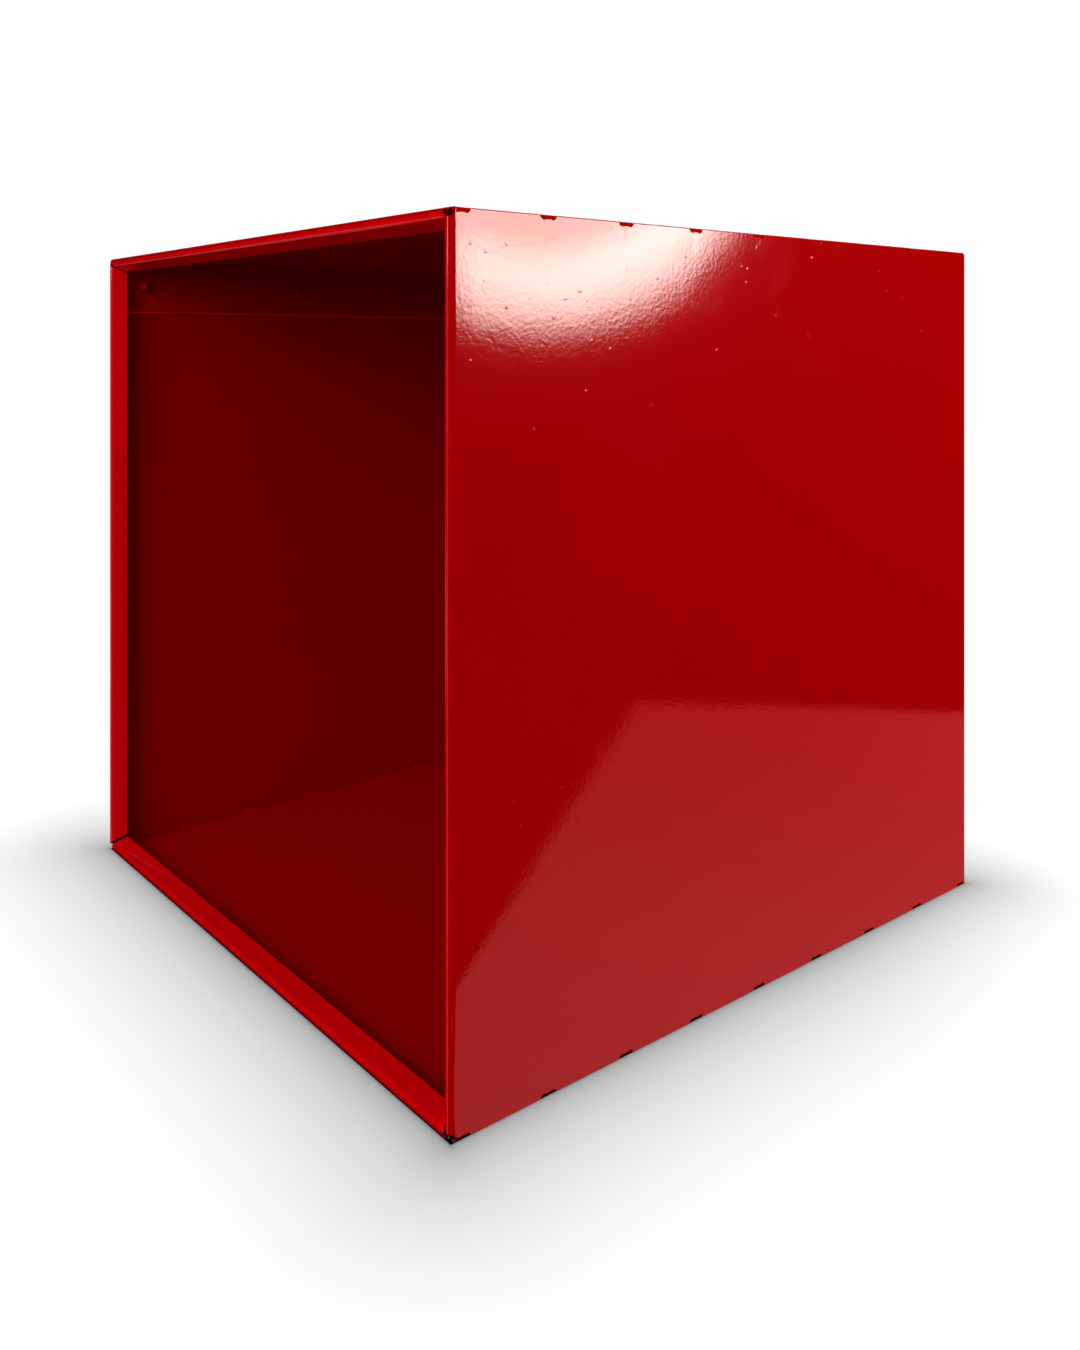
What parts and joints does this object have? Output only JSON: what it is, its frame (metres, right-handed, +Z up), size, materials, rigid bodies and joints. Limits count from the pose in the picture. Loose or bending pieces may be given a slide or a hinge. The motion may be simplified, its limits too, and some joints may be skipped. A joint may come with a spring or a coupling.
{
  "type": "newspaper box shell",
  "caption": "Open-front cube box folded from gloss red sheet steel, with rolled front lips, slotted fold lines, a riveted lap seam and a riveted back panel.",
  "frame": {"origin": "middle of the flat underside, midway between the side walls' outer faces and between the front edge and the back flanges", "axes": "+Z up, the open front faces -Y, +X to the right as seen from the front"},
  "size_m": [0.3312, 0.3312, 0.33],
  "materials": {
    "body_paint": "high-gloss red powder coat with fine orange peel",
    "panel_paint": "high-gloss red powder coat with fine orange peel",
    "rivet_paint": "gloss red powder coat, thick round the edges",
    "pin_paint": "gloss red powder coat over broken steel"
  },
  "bodies": {
    "root": {"folded_body": "body_paint", "back_panel": "panel_paint", "lap_rivet_1": "rivet_paint", "lap_rivet_2": "rivet_paint", "lap_rivet_3": "rivet_paint", "lap_rivet_4": "rivet_paint", "lap_rivet_pin_1": "pin_paint", "lap_rivet_pin_2": "pin_paint", "lap_rivet_pin_3": "pin_paint", "lap_rivet_pin_4": "pin_paint", "back_rivet_1": "rivet_paint", "back_rivet_2": "rivet_paint", "back_rivet_3": "rivet_paint", "back_rivet_4": "rivet_paint", "back_rivet_5": "rivet_paint", "back_rivet_6": "rivet_paint", "back_rivet_7": "rivet_paint", "back_rivet_8": "rivet_paint", "back_rivet_9": "rivet_paint", "back_rivet_10": "rivet_paint", "back_rivet_11": "rivet_paint", "back_rivet_12": "rivet_paint", "back_rivet_pin_1": "pin_paint", "back_rivet_pin_2": "pin_paint", "back_rivet_pin_3": "pin_paint", "back_rivet_pin_4": "pin_paint", "back_rivet_pin_5": "pin_paint", "back_rivet_pin_6": "pin_paint", "back_rivet_pin_7": "pin_paint", "back_rivet_pin_8": "pin_paint", "back_rivet_pin_9": "pin_paint", "back_rivet_pin_10": "pin_paint", "back_rivet_pin_11": "pin_paint", "back_rivet_pin_12": "pin_paint"}
  },
  "joints": []
}
